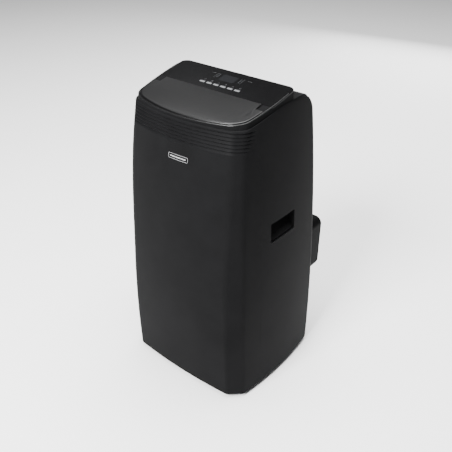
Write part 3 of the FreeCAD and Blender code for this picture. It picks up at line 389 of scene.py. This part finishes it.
# Base colour, roughness, grain, relief, drift of tone, specular level (0.5) and metal (0).
FINISHES = {
    "casing_black": ((0.0059, 0.0059, 0.0062), 0.44, 1400, 0.10, 0.10, 0.012),
    "grille_black": ((0.0048, 0.0048, 0.0051), 0.45, 1400, 0.12, 0.10, 0.015),
    "flap_black": ((0.0022, 0.0022, 0.0024), 0.34, 1400, 0.06, 0.08, 0.34),
    "panel_gloss": ((0.0016, 0.0016, 0.0018), 0.24, 60, 0.01, 0.08, 0.14),
    "display_lens": ((0.0075, 0.0077, 0.0085), 0.12, 60, 0.01, 0.05, 0.2),
    "key_silver": ((0.105, 0.107, 0.11), 0.35, 1200, 0.08, 0.05),
    "board_green": ((0.02, 0.11, 0.05), 0.4, 500, 0.2, 0.15),
    "duct_grey": ((0.03, 0.03, 0.032), 0.5, 1200, 0.12, 0.1),
    "motor_steel": ((0.35, 0.36, 0.37), 0.35, 400, 0.15, 0.1, 0.5, 0.9),
    "drain_plastic": ((0.02, 0.02, 0.021), 0.45, 1200, 0.12, 0.1),
    "plug_rubber": ((0.012, 0.012, 0.012), 0.75, 1500, 0.25, 0.15),
    "screw_steel": ((0.18, 0.18, 0.19), 0.35, 500, 0.15, 0.1, 0.5, 1.0),
    "pan_steel": ((0.42, 0.43, 0.44), 0.4, 120, 0.1, 0.2, 0.5, 0.8),
    "fork_plastic": ((0.015, 0.015, 0.015), 0.5, 1200, 0.15, 0.1),
    "wheel_plastic": ((0.03, 0.03, 0.032), 0.5, 1000, 0.15, 0.12),
    "fan_plastic": ((0.09, 0.1, 0.105), 0.5, 1000, 0.12, 0.1),
    "scroll_foam": ((0.62, 0.62, 0.6), 0.8, 700, 0.4, 0.05),
    "coil_aluminium": ((0.6, 0.62, 0.64), 0.35, 300, 0.1, 0.08, 0.5, 1.0),
    "compressor_black": ((0.012, 0.012, 0.012), 0.3, 400, 0.2, 0.1),
    "foot_rubber": ((0.015, 0.015, 0.015), 0.8, 1500, 0.3, 0.15),
    "copper": ((0.72, 0.36, 0.2), 0.3, 300, 0.1, 0.15, 0.5, 1.0),
    "capacitor_aluminium": ((0.6, 0.6, 0.62), 0.3, 500, 0.1, 0.05, 0.5, 1.0),
    "ink_grey": ((0.045, 0.046, 0.048), 0.5, 900, 0.02, 0.05, 0.1),
    "ink_light": ((0.06, 0.062, 0.065), 0.4, 900, 0.02, 0.05, 0.1),
    "badge_silver": ((0.26, 0.263, 0.267), 0.35, 900, 0.05, 0.04, 0.3),
}
MATERIALS = {name: textured(name, *finish) for name, finish in FINISHES.items()}
MATERIALS["filter_mesh"] = woven("filter_mesh", (0.05, 0.05, 0.055), 0.0016)


def dress_cad_nodes():
    """Every CAD node takes its slot's finish, and smooth shading across gentle angles."""
    for part in frame["record"]["subparts"]:
        made = nodes[part["node"]]
        made.data.materials.clear()
        made.data.materials.append(MATERIALS[part["material_slot"]])
        by_angle(made, 28)


# ---------------------------------------------------------------- casing


def finish_piece(made, slot, body, *replaced):
    """Gives a piece its finish and its body, and hides the CAD nodes that it stands for."""
    made.data.materials.clear()
    made.data.materials.append(MATERIALS[slot])
    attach(made, body)
    if replaced:
        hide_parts(*replaced)
    return made


# Rows up to the wall's top edge: share of the way there, and inset in millimetres.
TOP_ROUNDING = ((0.0, 0), (0.25, 0), (0.5, 0), (0.75, 0), (0.9, 0), (0.965, 0.15), (0.985, 0.45), (1.0, 1.1))
RIB_ROWS = (0.2, 0.4, RIB_LEAN - 0.06, RIB_LEAN, RIB_LEAN + 0.08, 0.85)     # within one rib's pitch
BASE_ROWS = (BASE_Z, BASE_Z + 0.4, BASE_Z + 1.2)


def front_levels():
    """Heights of the front shell's rows, with close rows at each rib's ledge."""
    heights = [*BASE_ROWS, *(mix(BASE_Z + 3, RIB_FIRST - 2, i / 44) for i in range(45))]
    for i in range(RIB_COUNT + 1):
        ledge = RIB_FIRST + RIB_PITCH * i
        heights += [ledge - 0.5, ledge, ledge + 0.4]
        if i < RIB_COUNT:
            heights += [ledge + RIB_PITCH * share for share in RIB_ROWS]
    return [z for z in heights if z < FRONT_RIM - 0.2]


def both_sides(right):
    """A row across the front from its right half."""
    left = [Vector((-p.x, p.y, p.z)) for p in reversed(right)]
    return left + right[1:]


def set_back(row):
    """Moves a row inwards along the plan's normal by the ribs' depth."""
    out = []
    for i, p in enumerate(row):
        before, after = row[max(i - 1, 0)], row[min(i + 1, len(row) - 1)]
        along = Vector((after.x - before.x, after.y - before.y)).normalized()
        normal = Vector((along.y, -along.x))
        depth = rib_depth(p.z, p.y)
        out.append(Vector((p.x - normal.x * depth, p.y - normal.y * depth, p.z)))
    return out


def make_front_shell():
    rows = []
    for z in front_levels():
        rows.append(set_back(both_sides([Vector((p.x, p.y, z)) for p in front_right(z)])))
    for share, inset in TOP_ROUNDING:
        rows.append(both_sides(lifted(front_right, FRONT_RIM, share, inset)))
    made = thicken(grid("front_shell_skin", rows), WALL)
    apply_modifiers(made)
    by_angle(made)
    return finish_piece(made, "casing_black", "casing", "front_shell")


GRIP = (-49.5, 35.5, 394.0, 440.0)      # the hole's y from, y to, z from, z to
GRIP_CORNER = 2.5
EXHAUST = (9.5, 160.5, 212.0, 351.0)    # the hole's x from, x to, z from, z to: 0.5 mm round the box
EXHAUST_CORNER = 18.4


def make_side(sign):
    """The side panel on the right (sign 1) or the left (sign -1), with its holes."""
    heights = [*BASE_ROWS, *(mix(BASE_Z + 3, SIDE_RIM - 4, i / 60) for i in range(61))]
    rows = [[Vector((p.x, p.y, z)) for p in side_right(z)] for z in heights]
    for share, inset in TOP_ROUNDING:
        rows.append(lifted(side_right, SIDE_RIM, share, inset))
    if sign < 0:
        rows = mirrored(rows)
    side = "right" if sign > 0 else "left"
    made = thicken(grid("side_skin_" + side, rows), WALL)
    low_x, high_x = sorted((sign * 120.0, sign * REACH))
    low, high = (low_x, GRIP[0], GRIP[2]), (high_x, GRIP[1], GRIP[3])
    cut_away(made, cutter_box("grip_cut", low, high, GRIP_CORNER, 0))
    if sign > 0:
        low, high = (EXHAUST[0], 100.0, EXHAUST[2]), (EXHAUST[1], REACH, EXHAUST[3])
        cut_away(made, cutter_box("exhaust_cut", low, high, EXHAUST_CORNER, 1))
    by_angle(made)
    return finish_piece(made, "casing_black", "casing", "side_panel_" + side)


def soften_cad_nodes():
    """Outer pieces that keep their CAD form get softened edges."""
    widths = {"top_cover": 0.9, "outlet_flap": 0.5, "control_panel": 0.5, "exhaust_housing": 1.0}
    widths.update({f"key_{i}": 0.4 for i in range(1, 7)})
    for node, width in widths.items():
        soften(nodes[node], width)
    for node in ("rear_panel", "grip_cup_left", "grip_cup_right", "display_window"):
        soften(nodes[node], 0.3, 2)


# ---------------------------------------------------------------- flap skin and lip bead

FLAP_REAR = -41.3                    # y of the skin's rear edge
TAB_FRONT, TAB_X = -61.0, 126.0      # the notch at each hinge tab: its front y and its inner x
SKIN_INSET, SKIN_CROWN, SKIN_THICK = 8.2, 2.2, 1.3
SKIN_EDGE = 1.4                      # width of the skin's rounded edge
CROWN_PEAK = 1.54                    # top of 4 sqrt(t) (1 - t), a third of the way back
RIM_LEVEL = 672.0                    # about the rim's height round the flap


def at_rim(plan, inset, low_y, high_y):
    """Plan points between two depths, each taken at the rim's own height there."""
    points = []
    for i, p in enumerate(plan(RIM_LEVEL, inset)):
        q = plan(rim_height(p.y), inset)[i]
        if low_y <= q.y <= high_y:
            points.append(Vector((q.x, q.y, rim_height(q.y))))
    return points


def front_depth(edge, x):
    """y of the flap's outline at x, by interpolation along its right half."""
    for a, b in zip(edge, edge[1:]):
        if a.x <= x <= b.x:
            return mix(a.y, b.y, (x - a.x) / max(b.x - a.x, 1e-6))
    return edge[-1].y


def make_flap_skin():
    """The flap's outer face: a gently crowned sheet on the plate, notched at the hinge tabs."""
    edge = at_rim(front_right, SKIN_INSET, -REACH, SEAM_Y)
    edge += at_rim(side_right, SKIN_INSET, SEAM_Y, TAB_FRONT)
    widest = edge[-1].x - 0.05
    length = FLAP_REAR - edge[0].y
    xs = [TAB_X * i / 28 for i in range(29)]
    xs += [mix(TAB_X + 0.05, widest, (i / 14) ** 0.7) for i in range(15)]
    columns = []
    for x in xs:
        start, end = front_depth(edge, x), FLAP_REAR if x <= TAB_X else TAB_FRONT
        column = []
        for i in range(33):
            y = mix(start, end, (1 - math.cos(math.pi * i / 32)) / 2)
            deep = (y - start) / (FLAP_REAR - start)
            crown = 4 * math.sqrt(deep) * (1 - deep) / CROWN_PEAK * ((FLAP_REAR - start) / length) ** 1.5
            crown *= (1 - min(x / widest, 1.0) ** 2) ** 0.8
            edge_in = min(y - start, (widest - x) * 1.5 + 0.02, SKIN_EDGE) / SKIN_EDGE
            lift = SKIN_THICK * (0.6 + 0.4 * math.sqrt(1 - (1 - edge_in) ** 2))
            column.append(Vector((x, y, rim_height(y) + lift + SKIN_CROWN * crown)))
        columns.append(column)
    left = [[Vector((-p.x, p.y, p.z)) for p in column] for column in reversed(columns)]
    made = thicken(grid("flap_skin", left + columns[1:]), SKIN_THICK)
    apply_modifiers(made)
    by_angle(made)
    return finish_piece(made, "flap_black", "outlet_flap")


BEAD_INSET, BEAD_WIDE, BEAD_HIGH = 4.5, 1.8, 2.1     # inset, half width and height
BEAD_SINK = 0.4                                      # how deep its foot sits under the rim
BEAD_END = 20.0                                      # y of its rear end


def make_lip_bead():
    """A rounded ridge along the top cover's lip, round the flap and up beside the control panel."""
    right = at_rim(front_right, BEAD_INSET, -REACH, SEAM_Y)
    right += at_rim(side_right, BEAD_INSET, SEAM_Y + 1, BEAD_END)
    path = both_sides(right)
    rows = []
    for i, p in enumerate(path):
        along = path[min(i + 1, len(path) - 1)] - path[max(i - 1, 0)]
        out = Vector((along.y, -along.x, 0)).normalized()
        row = []
        for k in range(13):
            a = math.pi * k / 12
            rise = BEAD_HIGH * math.sin(a) - BEAD_SINK
            row.append(p + out * BEAD_WIDE * math.cos(a) + Vector((0, 0, rise)))
        rows.append(row)
    return finish_piece(grid("lip_bead", rows), "flap_black", "casing")


# ---------------------------------------------------------------- marks on the panel and the badge

PANEL_Y = -7.0                       # y of the panel's own origin
PANEL_ORIGIN = Vector((0, PANEL_Y, rim_height(PANEL_Y)))
KEY_XS = [1.5 + 18.4 * (i - 2.5) for i in range(6)]
STROKE = 0.55                        # width of a printed line
ICON_V, CAPTION_V = -2.4, -6.9       # rows of the icons and of the captions, up the slope
SCALE_ROWS = (13.0, 16.4, 19.8, 23.2, 26.6, 30.0)
LAMP_ROWS = (15.5, 19.5, 23.5, 27.5)
LEGEND_V = 28.7


def on_panel(u, v, out):
    """A point in the control panel's own frame: across, up the slope, out of the panel."""
    along = Vector((0, math.cos(TILT), math.sin(TILT)))
    normal = Vector((0, -math.sin(TILT), math.cos(TILT)))
    return (PANEL_ORIGIN + Vector((u, 0, 0)) + along * v + normal * out) * MM


def add_prism(bm, corners, low, high, place):
    """A thin prism on corners (u, v), from height low to height high."""
    base = [bm.verts.new(place(u, v, low)) for u, v in corners]
    top = [bm.verts.new(place(u, v, high)) for u, v in corners]
    bm.faces.new(top)
    bm.faces.new(list(reversed(base)))
    for i in range(len(corners)):
        j = (i + 1) % len(corners)
        bm.faces.new((base[i], base[j], top[j], top[i]))


def stroke(a, b, wide=STROKE):
    """A short bar's corners, from a to b."""
    a, b = Vector(a), Vector(b)
    along = (b - a).normalized()
    side = Vector((-along.y, along.x)) * wide / 2
    ends = along * wide / 2
    return [a - ends - side, b + ends - side, b + ends + side, a - ends + side]


def ring(center, radius, start=0.0, sweep=360.0, count=20):
    """Bars along an arc."""
    points = []
    for i in range(count + 1):
        a = math.radians(start + sweep * i / count)
        points.append((center[0] + radius * math.cos(a), center[1] + radius * math.sin(a)))
    return [stroke(a, b) for a, b in zip(points, points[1:])]


def through(x, v, degrees):
    """A bar centred on (x, v), at an angle."""
    reach_x, reach_v = 2.2 * math.cos(math.radians(degrees)), 2.2 * math.sin(math.radians(degrees))
    return stroke((x - reach_x, v - reach_v), (x + reach_x, v + reach_v))


def key_icon(kind, x, v):
    """One plain icon of a common kind, 5 mm across, above a key."""
    if kind == 0:       # power
        return ring((x, v), 2.0, 120, 300) + [stroke((x, v + 0.6), (x, v + 2.5))]
    if kind == 1:       # cold
        return [through(x, v, 0), through(x, v, 60), through(x, v, 120)]
    if kind == 2:       # lower
        return [through(x, v, 0)]
    if kind == 3:       # raise
        return [through(x, v, 0), through(x, v, 90)]
    if kind == 4:       # fan
        bars = []
        for blade in (90, 210, 330):
            a = math.radians(blade)
            bars += ring((x + 1.2 * math.cos(a), v + 1.2 * math.sin(a)), 1.0, blade - 120, 200, 8)
        return bars
    return ring((x, v), 2.0) + [stroke((x, v), (x, v + 1.3)), stroke((x, v), (x + 1.0, v))]     # timer


def printed(name, shapes, slot, place, low=-0.05, high=0.06):
    """Thin ink shapes printed on a surface, as one piece of the casing."""
    bm = bmesh.new()
    for corners in shapes:
        add_prism(bm, corners, low, high, place)
    mesh = bpy.data.meshes.new(name)
    bm.to_mesh(mesh)
    bm.free()
    return finish_piece(new_object(name, mesh), slot, "casing")


def make_marks():
    """Plain icons above the keys, their captions as short dashes, and the marks round the display."""
    icons = []
    for kind, x in enumerate(KEY_XS):
        icons += key_icon(kind, x + 0.5, ICON_V)
        for start, end in ((-4.5, -2.6), (-1.6, 1.0), (2.0, 4.6)):
            icons.append(stroke((x + start, CAPTION_V), (x + end, CAPTION_V), 0.5))
    printed("key_icons", icons, "ink_grey", on_panel)
    small = []
    for x in (-34.0, 34.5):
        small += [stroke((x - 1.0, v), (x + 1.0, v), 0.7) for v in SCALE_ROWS]
    for x in (-50.0, 45.0):
        small += [stroke((x, LEGEND_V), (x + 2.2, LEGEND_V), 0.8)]
        small += [stroke((x + 4.4, LEGEND_V), (x + 9.5, LEGEND_V), 0.8)]
    printed("display_marks", small, "ink_grey", on_panel)
    lamps = []
    for x in (-28.0, 29.5):
        for v in LAMP_ROWS:
            lamps.append([(x - 0.8, v - 0.6), (x + 0.8, v - 0.6), (x + 0.8, v + 0.6), (x - 0.8, v + 0.6)])
    printed("indicator_lamps", lamps, "ink_light", on_panel, 0.15, 0.3)


def on_front(u, v, out):
    """A point on the casing's front: across, height, out of the surface."""
    half, front, bow = size_at(HALF, v), size_at(FRONT, v), level(BOW, v)
    reach = half - FLARE - bevel_at(v)
    return Vector((u, -front + bow * (u / reach) ** 2 - out, v)) * MM


BADGE = (-11.5, 38.5, 581.5, 592.0)      # x from, x to, z from, z to
BADGE_CORNER, BADGE_LINE, BADGE_BAR = 2.6, 0.55, 2.4


def make_badge():
    """A plain nameplate: an outline with three blank bars."""
    low_x, high_x, low_z, high_z = BADGE
    corner = BADGE_CORNER
    outline = []
    for cx, cz, start in ((high_x - corner, high_z - corner, 0), (low_x + corner, high_z - corner, 90),
                          (low_x + corner, low_z + corner, 180), (high_x - corner, low_z + corner, 270)):
        for i in range(7):
            a = math.radians(start + 15 * i)
            outline.append((cx + corner * math.cos(a), cz + corner * math.sin(a)))
    bars = []
    for a, b in zip(outline, outline[1:] + outline[:1]):
        steps = max(1, int((Vector(b) - Vector(a)).length / 3))
        ends = [Vector(a).lerp(Vector(b), i / steps) for i in range(steps + 1)]
        bars += [stroke(p, q, BADGE_LINE) for p, q in zip(ends, ends[1:])]
    middle = (low_z + high_z) / 2
    for start, end in ((-5.0, 6.5), (10.0, 19.5), (23.0, 32.0)):
        spots = [mix(start, end, i / 4) for i in range(5)]
        bars += [stroke((p, middle), (q, middle), BADGE_BAR) for p, q in zip(spots, spots[1:])]
    printed("nameplate", bars, "badge_silver", on_front, -0.1, 0.35)


# ---------------------------------------------------------------- studio


FLOOR = 12.0            # half the floor's width, in metres


def make_studio():
    """A plain pale floor and a dim white surround."""
    mesh = bpy.data.meshes.new("floor")
    corners = [(-FLOOR, -FLOOR, 0), (FLOOR, -FLOOR, 0), (FLOOR, FLOOR, 0), (-FLOOR, FLOOR, 0)]
    mesh.from_pydata(corners, [], [(0, 1, 2, 3)])
    floor = new_object("studio_floor", mesh)
    material, parts, _ = new_material("studio_floor")
    shader = parts["Principled BSDF"]
    shader.inputs["Base Color"].default_value = (0.93, 0.93, 0.93, 1)
    shader.inputs["Roughness"].default_value = 0.9
    mesh.materials.append(material)
    world = bpy.data.worlds.new("studio")
    world.use_nodes = True
    background = world.node_tree.nodes["Background"]
    background.inputs["Color"].default_value = (1, 1, 1, 1)
    background.inputs["Strength"].default_value = 0.12
    bpy.context.scene.world = world


def area_light(name, place, target, size, power):
    """A soft light at place, aimed at target, both in metres; its power is in watts."""
    data = bpy.data.lights.new(name, "AREA")
    data.shape = "RECTANGLE"
    data.size, data.size_y = size
    data.energy = power
    made = bpy.data.objects.new(name, data)
    made.location = place
    made.rotation_euler = (Vector(target) - Vector(place)).to_track_quat("-Z", "Y").to_euler()
    bpy.context.scene.collection.objects.link(made)


CAMERA_ROLL = 0.28      # degrees


def make_camera():
    data = bpy.data.cameras.new("camera")
    data.lens, data.sensor_width = 48.8, 36.0
    data.shift_x, data.shift_y = 0.00197, -0.00097
    made = bpy.data.objects.new("camera", data)
    made.location = (0.78107, -0.94517, 1.1109)
    target = Vector((0.00537, -0.00288, 0.35096))
    aim = (target - made.location).to_track_quat("-Z", "Y")
    made.rotation_euler = (aim @ Quaternion((0, 0, 1), math.radians(CAMERA_ROLL))).to_euler()
    bpy.context.scene.collection.objects.link(made)
    bpy.context.scene.camera = made


dress_cad_nodes()
make_front_shell()
make_side(1)
make_side(-1)
soften_cad_nodes()
make_flap_skin()
make_lip_bead()
make_marks()
make_badge()
make_studio()
area_light("overhead", (0.0, 0.2, 3.4), (0, 0.2, 0), (2.4, 2.4), 290)
area_light("front_high", (0.1, -2.5, 2.5), (0, -0.1, 0.45), (1.2, 0.9), 350)
area_light("back_left", (-1.9, 1.0, 2.9), (0, -0.1, 0.68), (0.9, 0.9), 6)
area_light("rear_fill", (-0.5, 2.9, 1.0), (0, 0, 0.38), (1.8, 1.4), 60)
make_camera()
